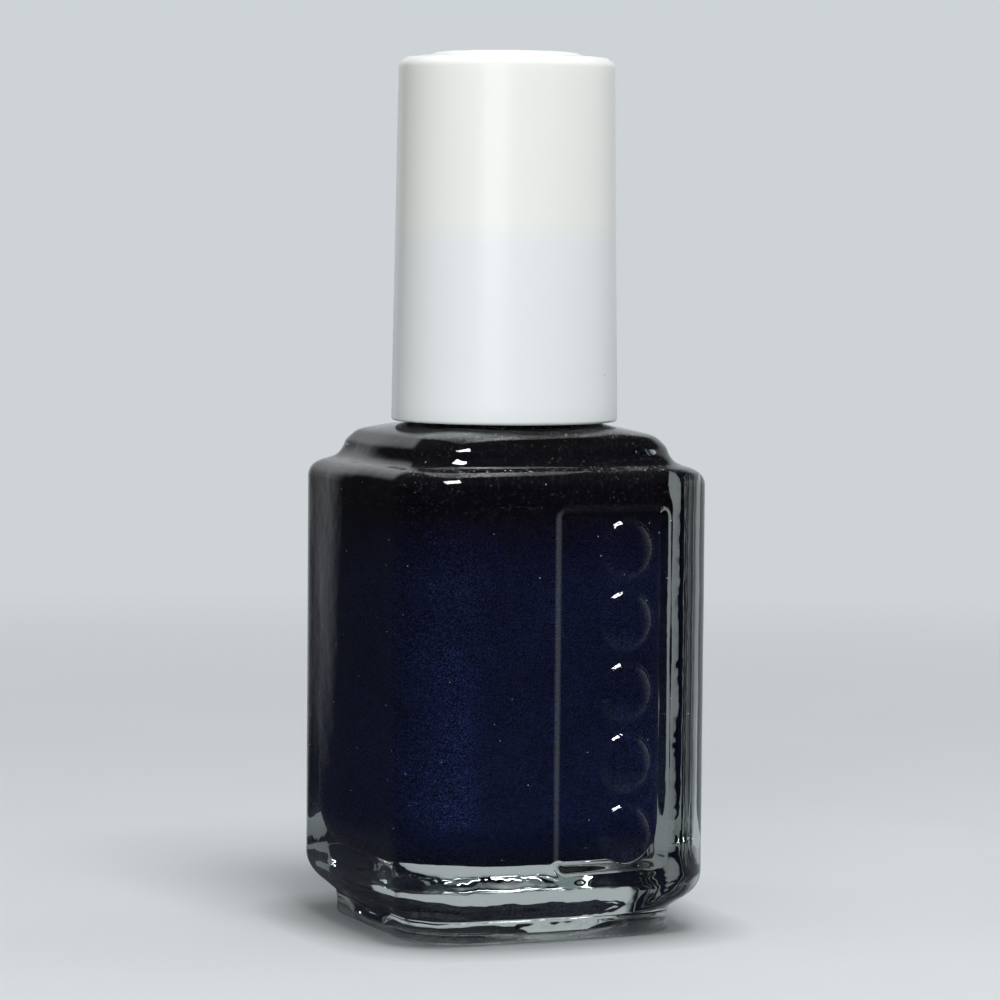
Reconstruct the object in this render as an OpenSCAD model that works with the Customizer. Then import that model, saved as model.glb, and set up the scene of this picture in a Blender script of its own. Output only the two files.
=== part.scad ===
// Nail polish bottle: a square glass bottle with a screw neck, its polish and mixing balls,
// and a tall round closure that carries the brush.
// Millimetres, +Z up. The origin is the centre of the base, on the surface that it stands on.

/* [Glass body] */
// Outside width of the square body
body_w = 28.8; // [28:0.1:30]
// Radius of the body's four upright corners
body_corner_r = 4.6; // [4:0.1:5.5]
// Height at which the body's straight sides end and the shoulder begins
side_top_z = 37.9; // [36.5:0.1:39]
// How far the shoulder's platform is set in from the body's sides
platform_inset = 2.0; // [1.8:0.1:2.2]
// Inset of the foot where it meets the rounded underside of the body
foot_inset = 1.95; // [1.8:0.05:2.1]
// Height of the foot below the rounded underside
foot_h = 1.9; // [1.6:0.1:2.1]

/* [Polish chamber] */
// Width of the square chamber inside the glass
chamber_w = 22.6; // [22:0.1:23]
// Radius of the chamber's upright corners
chamber_corner_r = 4.8; // [4.4:0.1:5.6]
// Height of the chamber's floor, which is also the thickness of the glass base
floor_z = 6.3; // [5.5:0.1:7]
// Radius between the chamber's floor and its walls
floor_edge_r = 4.0; // [3:0.1:4.5]
// Radius between the chamber's walls and its roof
roof_edge_r = 4.6; // [4.2:0.1:5]
// Height of the polish, a fill of about 14 ml
fill_z = 36.8; // [36.2:0.1:39]

/* [Neck] */
// Height of the neck's rim
neck_top_z = 57.2; // [56:0.1:58]
// Radius of the neck between its threads
neck_r = 6.45; // [6.3:0.05:6.6]
// Radius of the neck's bore
neck_bore_r = 4.1; // [4:0.05:4.3]
// Rise of the thread for one turn
thread_pitch = 2.12; // [2:0.02:2.3]
// Turns of thread
thread_turns = 1.5; // [1:0.25:2]
// Height of each thread ridge above its wall
thread_h = 0.5; // [0.4:0.05:0.55]
// Radial gap between the crests of the two threads
thread_gap = 0.1; // [0.05:0.01:0.15]

/* [Closure] */
// Height of the top of the closure, the height of the whole object
total_h = 75; // [74:0.1:76]
// Height of the closure's lower edge
cap_low_z = 43.4; // [43.3:0.1:43.8]
// Outside radius at the lower edge
cap_low_r = 9.75; // [9.6:0.05:10]
// Outside radius just under the rounded top edge
cap_top_r = 9.3; // [9.2:0.05:9.5]
// Radius of the raised disc on top
disc_r = 6.8; // [6:0.1:7.2]
// Height of the raised disc
disc_h = 0.45; // [0.3:0.05:0.6]
// Radius of the socket that holds the inner cap
cap_bore_r = 8.45; // [8.4:0.01:8.5]
// Number of grip splines on the inner cap
spline_count = 24; // [12:2:36]
// Number of ribs inside the top of the closure
top_rib_count = 6; // [4:1:8]

/* [Brush] */
// Height of the brush's tip above the base
brush_tip_z = 9.2; // [8.5:0.1:11]
// Length of bristle that shows below the rod
bristle_l = 14.5; // [13:0.5:16]
// Radius of the rod just below its collar
rod_top_r = 2.1; // [1.9:0.05:2.3]
// Radius of the rod's lower end
rod_low_r = 1.75; // [1.7:0.05:1.9]
// Greatest radius of the tuft
tuft_r = 2.05; // [1.8:0.05:2.3]

/* [Mixing balls] */
// Diameter of each steel ball
ball_d = 4; // [3.5:0.1:4.2]
// Distance of each ball from the bottle's axis
ball_offset = 6.4; // [6.2:0.1:6.6]

/* [Hidden] */

$fn = 64;
gap = 0.05;                       // gap between pieces that rest on each other
over = 1;                         // how far a cutter runs past the face it cuts

corner_steps = 6;                 // facets in a quarter of a lofted section
edge_steps = 5;                   // facets along a rounded edge
thread_steps = 30;                // facets in one turn of thread

side_low_z = 5.2;                 // where the rounded underside meets the straight sides
underside_r = 3.0;                // radius of that rounded underside
foot_rim_r = 0.35;                // rounding of the foot's lower edge
foot_slope = 0.2;                 // how much the foot narrows on its way down

ledge_angle = 30;                 // slope of the ledge round the platform
ledge_edge_r = 1.5;               // rounding from the body's sides to that ledge
platform_edge_r = 1.3;            // rounding of the platform's top edge
platform_angle = 80;              // slope of the platform's sides
shoulder_z = 43;                  // height of the shoulder beside the neck

recess_r = 9.6;                   // dished underside that takes the label
recess_h = 0.5;
label_r = 9.2;
label_t = 0.12;

washer_t = 0.95;
washer_r = 6.9;
inner_low_z = 44;                 // lower edge of the inner cap
inner_root_r = neck_r + 2 * thread_h + thread_gap;
inner_wall_r = cap_bore_r - 0.25; // outside of the inner cap between its splines
inner_roof_z = neck_top_z + washer_t + 2 * gap;
inner_roof_t = 1.6;
inner_top_z = inner_roof_z + inner_roof_t;
boss_r = neck_bore_r - 0.5;       // boss that holds the rod and plugs the neck
boss_h = 3.8;
rod_plug_r = 2.45;
rod_plug_h = boss_h + 0.8;
collar_r = 3.3;
collar_h = 1;

rod_low_z = brush_tip_z + bristle_l;
ferrule_l = 4.5;                  // thicker end of the rod that grips the tuft
ferrule_r = 2.0;
hole_r = 1.35;                    // hole in the rod for the folded end of the tuft
hole_l = 3.6;
staple_l = 3.1;
staple_h = 1.7;
staple_t = 0.35;

ball_r = ball_d / 2;
ball_way_r = ball_r + 0.1;        // way for a ball through the polish
brush_way_r = 2.9;                // way for the brush through the polish

// ---- outlines ------------------------------------------------------------------------------

function clamp(v, low, high) = max(low, min(high, v));

// Points on an arc about [cx, cz], from angle a0 to angle a1.
function arc(cx, cz, r, a0, a1, n = edge_steps) =
    [for (i = [0:n]) let (a = a0 + (a1 - a0) * i / n) [cx + r * cos(a), cz + r * sin(a)]];

// A square of half-width a with corners of radius r, as points at height z.
function rounded_square(a, r, z) =
    [for (k = [0:3], i = [0:corner_steps])
        let (t = 90 * k + 90 * i / corner_steps,
             c = (a - r) * sqrt(2),
             m = 90 * k + 45)
        [c * cos(m) + r * cos(t), c * sin(m) + r * sin(t), z]];

// Glass outside, as [inset from the body's side, height], from the foot to the neck.
ledge_start = [ledge_edge_r * (1 - cos(90 - ledge_angle)),
               side_top_z + ledge_edge_r * sin(90 - ledge_angle)];
ledge_run = platform_inset - ledge_start[0] - 0.25;
ledge_end = ledge_start + ledge_run * [1, tan(ledge_angle)];
platform_side_z = side_top_z + 2.6;
platform_top_z = side_top_z + 3.2;
platform_cx = platform_inset + 0.1 + platform_edge_r * sin(platform_angle);
platform_cz = platform_top_z - platform_edge_r * cos(platform_angle);
dome_start = [platform_cx - platform_edge_r * sin(15),
              platform_cz + platform_edge_r * cos(15)];
dome_end = [7.6, shoulder_z];

glass_outline = concat(
    [[foot_inset + foot_slope + foot_rim_r, 0]],
    [[foot_inset + foot_slope, foot_rim_r]],
    [[foot_inset, foot_h]],
    [[foot_inset - 0.12, foot_h + 0.22]],
    arc(underside_r, side_low_z, underside_r, 230, 180),
    arc(ledge_edge_r, side_top_z, ledge_edge_r, 180, 90 + ledge_angle),
    [ledge_end],
    [[platform_inset, platform_side_z]],
    arc(platform_cx, platform_cz, platform_edge_r, 90 + platform_angle, 105),
    [for (i = [1:4]) let (t = i / 4)
        [dome_start[0] + t * (dome_end[0] - dome_start[0]),
         dome_start[1] + (2 * t - t * t) * (dome_end[1] - dome_start[1])]]);

// The corners soften as the shoulder turns from a square into the round neck.
function glass_corner(inset) =
    let (t = clamp((inset - 2.6) / 5, 0, 1))
    (1 - t) * (body_corner_r - 0.4 * inset) + t * (body_w / 2 - inset);

// Chamber inside the glass, up to an angle on the arc between its walls and its roof.
function chamber_outline(roof_angle) = concat(
    [[chamber_w / 4, floor_z]],
    arc(floor_edge_r, floor_z + floor_edge_r, floor_edge_r, 270, 180),
    arc(roof_edge_r, roof_z, roof_edge_r, 180, roof_angle));
roof_z = 36.2;                    // where the chamber's walls begin to turn in
roof_end_angle = 100;
fill_angle = 180 - asin((fill_z - roof_z) / roof_edge_r);

// A solid through rounded squares: outline points give inset and height.
module loft(outline, half_w, corner) {
    n = 4 * (corner_steps + 1);
    m = len(outline);
    points = [for (k = [0:m - 1])
        let (a = half_w - outline[k][0])
        each rounded_square(a, min(a * 0.999, corner[k]), outline[k][1])];
    polyhedron(points, concat(
        [[for (i = [0:n - 1]) i]],
        [for (k = [0:m - 2], i = [0:n - 1])
            let (j = (i + 1) % n, b = k * n, t = (k + 1) * n)
            each [[b + i, t + i, t + j], [b + i, t + j, b + j]]],
        [[for (i = [n - 1:-1:0]) (m - 1) * n + i]]));
}

module chamber(roof_angle, shrink) {
    outline = chamber_outline(roof_angle);
    loft([for (p = outline) [p[0] + shrink, p[1] + (p[1] <= floor_z ? shrink : 0)]],
         chamber_w / 2, [for (p = outline) chamber_corner_r - shrink]);
}

// One helical thread ridge, from a wall at wall_r to a crest at crest_r, fading at both ends.
module thread(wall_r, crest_r, low_z) {
    root = wall_r + (wall_r > crest_r ? 0.2 : -0.2);
    steps = round(thread_turns * thread_steps);
    points = [for (k = [0:steps])
        let (t = 360 * k / thread_steps,
             fade = clamp(min(k, steps - k) / 4, 0.08, 1),
             crest = wall_r + fade * (crest_r - wall_r),
             z = low_z + thread_pitch * k / thread_steps)
        each [for (p = [[root, -0.62], [crest, -0.26], [crest, 0.26], [root, 0.62]])
            [p[0] * cos(t), p[0] * sin(t), z + p[1]]]];
    // A crest further out than its wall turns the section over, so its faces turn too.
    flip = crest_r > wall_r;
    faces = concat(
        [[0, 1, 2, 3]],
        [for (k = [0:steps - 1], i = [0:3])
            let (j = (i + 1) % 4, b = 4 * k, t = 4 * (k + 1))
            each [[b + i, t + i, t + j], [b + i, t + j, b + j]]],
        [[3, 2, 1, 0] + 4 * steps * [1, 1, 1, 1]]);
    polyhedron(points, flip ? [for (f = faces) [for (i = [len(f) - 1:-1:0]) f[i]]] : faces);
}

// ---- pieces --------------------------------------------------------------------------------

module neck() {
    lip_r = 0.5;
    rotate_extrude()
        polygon(concat(
            [[neck_bore_r - 0.2, shoulder_z - 1]],
            [[neck_r + 0.7, shoulder_z - 1]],
            [[neck_r + 0.7, shoulder_z]],
            arc(neck_r + 0.7, shoulder_z + 0.7, 0.7, 270, 180),
            arc(neck_r - lip_r, neck_top_z - lip_r, lip_r, 0, 90),
            [[neck_bore_r - 0.2, neck_top_z]]));
    thread(neck_r, neck_r + thread_h, neck_top_z - 6.2);
}

module bottle() {
    color([0.80, 0.84, 0.84, 0.35])
        difference() {
            union() {
                loft(glass_outline, body_w / 2, [for (p = glass_outline) glass_corner(p[0])]);
                neck();
            }
            chamber(roof_end_angle, 0);
            translate([0, 0, roof_z + roof_edge_r / 2])
                cylinder(r = neck_bore_r, h = neck_top_z);
            translate([0, 0, -over])
                cylinder(r = recess_r, h = recess_h + over);
        }
}

module polish() {
    color([0.06, 0.06, 0.18])
        difference() {
            chamber(fill_angle, gap);
            cylinder(r = brush_way_r, h = total_h);
            for (side = [-1, 1])
                translate([side * ball_offset, 0, 0])
                    cylinder(r = ball_way_r, h = total_h);
        }
}

module base_label() {
    color([0.84, 0.85, 0.86])
        translate([0, 0, recess_h - label_t])
            cylinder(r = label_r, h = label_t);
}

module cap_shell() {
    edge_r = 0.9;
    low_edge = 0.3;
    step_z = inner_top_z + gap;
    chamber_r = cap_bore_r - 0.55;
    ceiling_z = total_h - 2.2;
    rim_z = total_h - disc_h;
    color([0.91, 0.93, 0.92]) {
        rotate_extrude()
            polygon(concat(
                [[cap_bore_r, cap_low_z]],
                [[cap_low_r - low_edge, cap_low_z]],
                [[cap_low_r, cap_low_z + low_edge]],
                arc(cap_top_r - edge_r, rim_z - edge_r, edge_r, 0, 90),
                [[disc_r, rim_z]],
                [[disc_r - 0.25, rim_z + 0.7 * disc_h]],
                [[disc_r - 0.8, total_h]],
                [[0, total_h]],
                [[0, ceiling_z]],
                [[chamber_r, ceiling_z]],
                [[chamber_r, step_z]],
                [[cap_bore_r, step_z]]));
        for (k = [0:top_rib_count - 1])
            rotate([0, 0, 360 * k / top_rib_count])
                translate([chamber_r - 2.6, -0.45, step_z])
                    cube([2.9, 0.9, ceiling_z - step_z + 0.2]);
    }
}

module inner_cap() {
    spline_w = 0.6;
    color([0.82, 0.83, 0.82]) {
        difference() {
            union() {
                translate([0, 0, inner_low_z])
                    cylinder(r = inner_wall_r, h = inner_top_z - inner_low_z);
                for (k = [0:spline_count - 1])
                    rotate([0, 0, 360 * k / spline_count])
                        translate([inner_wall_r - 0.3, -spline_w / 2, inner_low_z])
                            cube([cap_bore_r - 0.02 - inner_wall_r + 0.3, spline_w,
                                  inner_top_z - inner_low_z]);
            }
            difference() {
                translate([0, 0, inner_low_z - over])
                    cylinder(r = inner_root_r, h = inner_roof_z - inner_low_z + over);
                translate([0, 0, inner_roof_z - boss_h])
                    cylinder(r = boss_r, h = boss_h + over);
            }
            translate([0, 0, inner_roof_z - boss_h - over])
                cylinder(r = rod_plug_r, h = rod_plug_h + over);
        }
        thread(inner_root_r, inner_root_r - thread_h, neck_top_z - 6.2 + thread_pitch / 2);
    }
}

module sealing_washer() {
    color([0.93, 0.92, 0.86])
        translate([0, 0, neck_top_z + gap])
            difference() {
                cylinder(r = washer_r, h = washer_t);
                translate([0, 0, -over])
                    cylinder(r = boss_r + 0.15, h = washer_t + 2 * over);
            }
}

module brush_rod() {
    plug_top_z = inner_roof_z - boss_h + rod_plug_h - gap;
    collar_z = inner_roof_z - boss_h - gap - collar_h;
    color([0.12, 0.12, 0.13])
        difference() {
            rotate_extrude()
                polygon([[0, rod_low_z],
                         [ferrule_r - 0.2, rod_low_z],
                         [ferrule_r, rod_low_z + 0.4],
                         [ferrule_r, rod_low_z + ferrule_l],
                         [rod_low_r, rod_low_z + ferrule_l + 0.8],
                         [rod_top_r, collar_z - 0.6],
                         [rod_top_r + 0.6, collar_z],
                         [collar_r, collar_z],
                         [collar_r, collar_z + collar_h],
                         [rod_plug_r, collar_z + collar_h],
                         [rod_plug_r, plug_top_z - 0.3],
                         [rod_plug_r - 0.3, plug_top_z],
                         [0, plug_top_z]]);
            translate([0, 0, rod_low_z - over])
                cylinder(r = hole_r, h = hole_l + over);
            staple_bar(0);
        }
}

// Flat metal bar that the bristles are folded over, grown by some clearance.
module staple_bar(clear) {
    translate([-staple_l / 2 - clear, -staple_t / 2 - clear, rod_low_z + 0.5 * hole_l - clear])
        cube([staple_l + 2 * clear, staple_t + 2 * clear, staple_h + 2 * clear]);
}

module staple() {
    color([0.75, 0.68, 0.45])
        staple_bar(0);
}

module bristles() {
    color([0.16, 0.15, 0.17])
        difference() {
            rotate_extrude()
                polygon([[0, brush_tip_z],
                         [0.6, brush_tip_z + 0.15],
                         [1.2, brush_tip_z + 0.7],
                         [0.85 * tuft_r, brush_tip_z + 1.8],
                         [tuft_r, brush_tip_z + 5],
                         [0.97 * tuft_r, brush_tip_z + 8],
                         [hole_r, rod_low_z],
                         [hole_r, rod_low_z + hole_l - gap],
                         [0, rod_low_z + hole_l - gap]]);
            staple_bar(0.02);
        }
}

module mixing_ball(side) {
    color([0.70, 0.71, 0.73])
        translate([side * ball_offset, 0, floor_z + gap + ball_r])
            sphere(r = ball_r);
}

module mixing_ball_1() {
    mixing_ball(-1);
}

module mixing_ball_2() {
    mixing_ball(1);
}

bottle();
polish();
base_label();
cap_shell();
inner_cap();
sealing_washer();
brush_rod();
staple();
bristles();
mixing_ball_1();
mixing_ball_2();
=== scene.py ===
"""Looks of the nail polish bottle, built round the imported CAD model. Lengths are metres."""
import math

import bmesh
import bpy
import numpy as np
from mathutils import Matrix, Vector


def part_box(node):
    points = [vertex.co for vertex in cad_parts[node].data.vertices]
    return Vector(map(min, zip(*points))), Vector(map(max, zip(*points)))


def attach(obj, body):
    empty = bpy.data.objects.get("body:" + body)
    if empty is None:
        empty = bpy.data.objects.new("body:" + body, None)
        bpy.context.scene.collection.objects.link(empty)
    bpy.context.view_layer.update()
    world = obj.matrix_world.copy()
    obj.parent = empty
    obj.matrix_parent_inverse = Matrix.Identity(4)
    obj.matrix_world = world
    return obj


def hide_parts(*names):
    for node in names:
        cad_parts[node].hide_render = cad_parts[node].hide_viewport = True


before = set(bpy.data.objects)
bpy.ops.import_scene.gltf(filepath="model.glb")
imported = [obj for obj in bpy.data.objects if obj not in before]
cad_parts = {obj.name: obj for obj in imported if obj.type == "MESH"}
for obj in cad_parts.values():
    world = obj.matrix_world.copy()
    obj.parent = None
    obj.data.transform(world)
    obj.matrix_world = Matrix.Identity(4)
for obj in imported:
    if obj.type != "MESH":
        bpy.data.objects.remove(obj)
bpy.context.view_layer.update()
MM = 0.001


# ---- sizes read from the frame -------------------------------------------------------------

def node_size(name):
    """Lowest and highest corner of a CAD node, as arrays."""
    low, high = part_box(name)
    return np.array(low), np.array(high)


GLASS_HIGH = node_size("bottle")[1]
POLISH_LOW, POLISH_HIGH = node_size("polish")
CAP_LOW, CAP_HIGH = node_size("cap_shell")
TUFT_LOW, TUFT_HIGH = node_size("bristles")
LABEL_LOW, LABEL_HIGH = node_size("base_label")
INNER_HIGH = node_size("inner_cap")[1]

BODY_A = GLASS_HIGH[0]                  # half the body's width
NECK_TOP = GLASS_HIGH[2]
FILL_Z = POLISH_HIGH[2]
FLOOR_Z = POLISH_LOW[2] - 0.05 * MM
CHAMBER_A = POLISH_HIGH[0] + 0.05 * MM  # half the chamber's width
CAP_TOP = CAP_HIGH[2]
CAP_BASE = CAP_LOW[2]
CAP_R = CAP_HIGH[0]

CORNER_R = 4.6 * MM                     # the body's corners, seen from above
CHAMBER_CORNER_R = 4.8 * MM
SHOULDER_Z = 43.0 * MM                  # below this height the chamber's wall is uneven
SIDE_TOP = 38.25 * MM                   # top of the body's straight sides
SIDE_LOW = 5.2 * MM                     # bottom of the body's straight sides
NECK_R = 6.45 * MM
BORE_R = 4.1 * MM
THREAD_PITCH = 2.12 * MM
THREAD_TURNS = 1.5
THREAD_H = 0.5 * MM
THREAD_HALF = 0.62 * MM                 # half the thread's width
THREAD_DROP = 6.2 * MM                  # how far below the neck's top the thread starts
RECESS_R = 9.6 * MM                     # dish in the underside
RECESS_H = 0.5 * MM
ROOF_Z = 36.2 * MM                      # where the chamber's walls begin to turn in
ROOF_R = 4.6 * MM
FLOOR_R = 4.0 * MM                      # where the chamber's walls meet its floor

SHOULDER_OUTLINE = (                    # (inset from the body's side, height) in millimetres
    (0.95, 39.65), (1.15, 39.73), (1.50, 39.85), (1.80, 39.96), (2.02, 40.07), (2.20, 40.20),
    (2.33, 40.35), (2.43, 40.52), (2.52, 40.70), (2.60, 40.90), (2.66, 41.10), (2.72, 41.30),
    (2.79, 41.45), (2.88, 41.58), (3.00, 41.74), (3.14, 41.91), (3.29, 42.09), (3.45, 42.27),
    (3.60, 42.39), (3.82, 42.51), (4.15, 42.64), (4.54, 42.78), (4.90, 42.90), (5.24, 43.00),
    (5.85, 43.16), (6.50, 43.31), (7.00, 43.39))
FACE_BOW = 0.018                        # how far the faces swell, as a share of their distance

PANEL_X = (-1.6 * MM, 9.4 * MM)         # sunk panel on the front face
PANEL_Z = (5.9 * MM, 37.2 * MM)
PANEL_CORNER = 1.4 * MM
PANEL_DEPTH = 0.45 * MM
PANEL_SLOPE = 1.1 * MM                  # width of the slope down into the panel
PANEL_RIM = 0.02 * MM                   # faint raised line round the panel
PANEL_RIM_WIDTH = 0.5 * MM
BEAD_X = 5.4 * MM                       # column of plain round beads in the panel
BEAD_R = 2.5 * MM
BEAD_H = 0.68 * MM
BEAD_PITCH = 6.0 * MM
BEAD_COUNT = 5
BEAD_DROP = 0.4 * MM                    # how far the column sits below the panel's middle


# ---- mesh helpers --------------------------------------------------------------------------

def new_mesh(name, points, faces, smooth=True):
    """A mesh object with outward faces, linked to the scene."""
    mesh = bpy.data.meshes.new(name)
    mesh.from_pydata([tuple(p) for p in points], [], [tuple(f) for f in faces])
    mesh.validate()
    mesh.update()
    mesh.polygons.foreach_set("use_smooth", [smooth] * len(mesh.polygons))
    piece = bpy.data.objects.new(name, mesh)
    bpy.context.scene.collection.objects.link(piece)
    return piece


def skin(rings, start=None, end=None):
    """Points and faces through rings of equal length, closed by a pole or an n-gon at each end."""
    n = len(rings[0])
    points = [p for ring in rings for p in ring]
    faces = []
    for k in range(len(rings) - 1):
        for i in range(n):
            j = (i + 1) % n
            faces.append((k * n + i, k * n + j, (k + 1) * n + j, (k + 1) * n + i))
    last = (len(rings) - 1) * n
    for pole, base, flip in ((start, 0, True), (end, last, False)):
        if pole is None:
            continue
        points.append(pole)
        tip = len(points) - 1
        for i in range(n):
            j = (i + 1) % n
            faces.append((base + j, base + i, tip) if flip else (base + i, base + j, tip))
    return points, faces


def arc(cx, cz, r, a0, a1, steps):
    """Points on an arc in the radius and height plane, angles in degrees."""
    angles = np.radians(np.linspace(a0, a1, steps + 1))
    return [(cx + r * math.cos(t), cz + r * math.sin(t)) for t in angles]


def smoothstep(t):
    """Nought to one with a soft start and end."""
    t = np.clip(t, 0.0, 1.0)
    return t * t * (3 - 2 * t)


def ripple(x, y, z, wavelength):
    """Smooth repeatable unevenness between about -1 and 1."""
    k = 2 * math.pi / wavelength
    return (np.sin(k * (x + 0.31 * z) + 1.3) * np.cos(k * (0.83 * y - 0.2 * x) + 0.4)
            + 0.6 * np.sin(1.7 * k * (0.6 * y + 0.8 * z) + 2.1) * np.cos(1.3 * k * x - 0.7)
            + 0.4 * np.sin(2.6 * k * (0.5 * x - 0.7 * y + 0.3 * z) + 4.0)) / 2


# ---- the square-to-round grid of columns ---------------------------------------------------

PANEL_COLUMNS = 116        # fine columns from the panel's left edge to the front face's right end
PLAIN_COLUMNS = 30         # coarser ones to the left of the panel
PANEL_START = -0.2         # where the fine columns begin along the front face
SIDE_COLUMNS = 22
CORNER_COLUMNS = 16


def make_columns():
    """Side number, place along the side from -1 to 1, and corner angle of every column."""
    side, along, angle = [], [], []
    front = np.r_[np.linspace(-1, PANEL_START, PLAIN_COLUMNS, endpoint=False),
                  np.linspace(PANEL_START, 1, PANEL_COLUMNS, endpoint=False)]
    plain = np.linspace(-1, 1, SIDE_COLUMNS, endpoint=False)
    for k in range(4):
        face = front if k == 0 else plain
        side += [k] * len(face)
        along += list(face)
        angle += [-90.0] * len(face)
        for i in range(CORNER_COLUMNS):
            side.append(k)
            along.append(1.0)
            angle.append(-90.0 + 90.0 * i / CORNER_COLUMNS)
    return np.array(side), np.array(along), np.radians(np.array(angle))


SIDE, ALONG, ANGLE = make_columns()
TURN = SIDE * math.pi / 2


def square_ring(a, r):
    """Rounded square of half-width a and corner radius r, front face towards -Y."""
    c = a - r
    x = ALONG * c + r * np.cos(ANGLE)
    y = -c + r * np.sin(ANGLE)
    return np.c_[x * np.cos(TURN) - y * np.sin(TURN), x * np.sin(TURN) + y * np.cos(TURN)]


REFERENCE = square_ring(BODY_A, CORNER_R)
BEARING = np.arctan2(REFERENCE[:, 1], REFERENCE[:, 0])
ROUND = np.c_[np.cos(BEARING), np.sin(BEARING)]


def ring(a, r, roundness, z):
    """A ring at height z between a rounded square and a circle."""
    flat = square_ring(a, min(r, 0.97 * a)) if roundness < 1 else 0
    xy = (1 - roundness) * flat + roundness * a * ROUND
    return np.c_[xy, np.full(len(xy), z)]


def panel_relief(x, z):
    """How far the front face stands out at (x, z): a sunk panel with a column of beads."""
    cx, cz = sum(PANEL_X) / 2, sum(PANEL_Z) / 2
    half_x = (PANEL_X[1] - PANEL_X[0]) / 2 - PANEL_CORNER
    half_z = (PANEL_Z[1] - PANEL_Z[0]) / 2 - PANEL_CORNER
    dx = np.maximum(np.abs(x - cx) - half_x, 0)
    dz = np.maximum(np.abs(z - cz) - half_z, 0)
    edge = PANEL_CORNER - np.hypot(dx, dz)         # distance inside the panel's edge
    sunk = -PANEL_DEPTH * smoothstep(edge / PANEL_SLOPE)
    rim = PANEL_RIM * np.exp(-(edge / PANEL_RIM_WIDTH) ** 2)
    raised = 0.0
    for i in range(BEAD_COUNT):
        bead_z = cz - BEAD_DROP + (i - (BEAD_COUNT - 1) / 2) * BEAD_PITCH
        d = np.hypot(x - BEAD_X, z - bead_z) / BEAD_R
        raised = raised + BEAD_H * np.clip(1 - d ** 2, 0, 1) ** 0.5
    return sunk + rim + raised


# ---- glass bottle --------------------------------------------------------------------------

DUST_LEVEL = 0.86          # how level a face has to be before dust lies on it
DUST_ELSEWHERE = 0.07      # share of the dust that clings to the other faces near the shoulder
DUST_FROM = 33 * MM        # no dust below this height


def glass_outline():
    """(inset from the body's side, height) from the foot's rim to the top of the shoulder."""
    rows = 240
    below = arc(2.5, 0.35, 0.35, 270, 180, 5)
    below += [(2.11, 0.8), (2.04, 1.3), (1.98, 1.7), (1.95, 1.9), (1.90, 2.03), (1.83, 2.12)]
    below += arc(3.0, 5.2, 3.0, 230, 180, 14)
    side = [(0.0, SIDE_LOW + (SIDE_TOP - SIDE_LOW) * k / rows) for k in range(1, rows)]
    above = arc(1.4, 38.3, 1.4, 180, 114, 10) + list(SHOULDER_OUTLINE)
    return [(i * MM, z * MM) for i, z in below] + side + [(i * MM, z * MM) for i, z in above]


def roundness_at(z):
    """Zero on the square body, one where the shoulder has become round."""
    return float(smoothstep((z - 40.6 * MM) / (2.2 * MM)))


def outer_rings():
    """The glass from the middle of the underside, over the rim and body, to the shoulder's top."""
    rings = []
    # Dished underside, then the flat rim that the bottle stands on.
    for share in (0.25, 0.5, 0.75, 0.93, 0.98):
        rings.append(ring(share * RECESS_R, 0, 1.0, RECESS_H))
    for z in (0.42, 0.25, 0.1):
        rings.append(ring(RECESS_R, 0, 1.0, z * MM))
    rim_a = BODY_A - 2.5 * MM
    for k, share in enumerate((0.0, 0.2, 0.4, 0.6, 0.8, 1.0)):
        a = RECESS_R + 0.1 * MM + share * (rim_a - RECESS_R - 0.1 * MM)
        grip = ring(a, 5.4 * MM, 1 - share, 0.0)
        # Short ridges across the rim, the marks a bottle machine leaves.
        if 0 < k < 5:
            grip[:, 2] = 0.04 * MM * (0.5 + 0.5 * np.cos(88 * BEARING))
        rings.append(grip)
    for inset, z in glass_outline():
        t = float(smoothstep((inset / MM - 2.6) / 4.6)) if z > SIDE_TOP else 0.0
        r = CORNER_R - 0.4 * inset + 0.5 * MM * float(smoothstep((z - 40.1 * MM) / (1.7 * MM)))
        if z < SIDE_LOW:
            r = CORNER_R + 0.35 * inset
        rings.append(ring(BODY_A - inset, r, t, z))
    # Front face relief, on the columns of the front side only.
    for points in rings:
        if SIDE_LOW - 2 * MM < points[0, 2] < SIDE_TOP + 0.01 * MM:
            front = (SIDE == 0) & (ANGLE < -1.55)
            points[front, 1] -= panel_relief(points[front, 0], points[front, 2])
        square = np.clip((points[0, 2] - 0.3 * MM) / MM, 0, 1) * (1 - roundness_at(points[0, 2]))
        low = 1 - float(smoothstep(points[0, 2] / (6.5 * MM)))
        wave = 0.012 * MM * ripple(points[:, 0], points[:, 1], points[:, 2], 11 * MM)
        wave += 0.06 * MM * low * ripple(points[:, 0], points[:, 1], 4 * points[:, 2], 5 * MM)
        wave += 0.02 * MM * low * ripple(points[:, 1], points[:, 0], 3 * points[:, 2], 1.9 * MM)
        bow = FACE_BOW * square * np.cos(4 * BEARING)
        points[:, :2] *= (1 + wave / BODY_A + bow)[:, None]
    return rings


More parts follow.
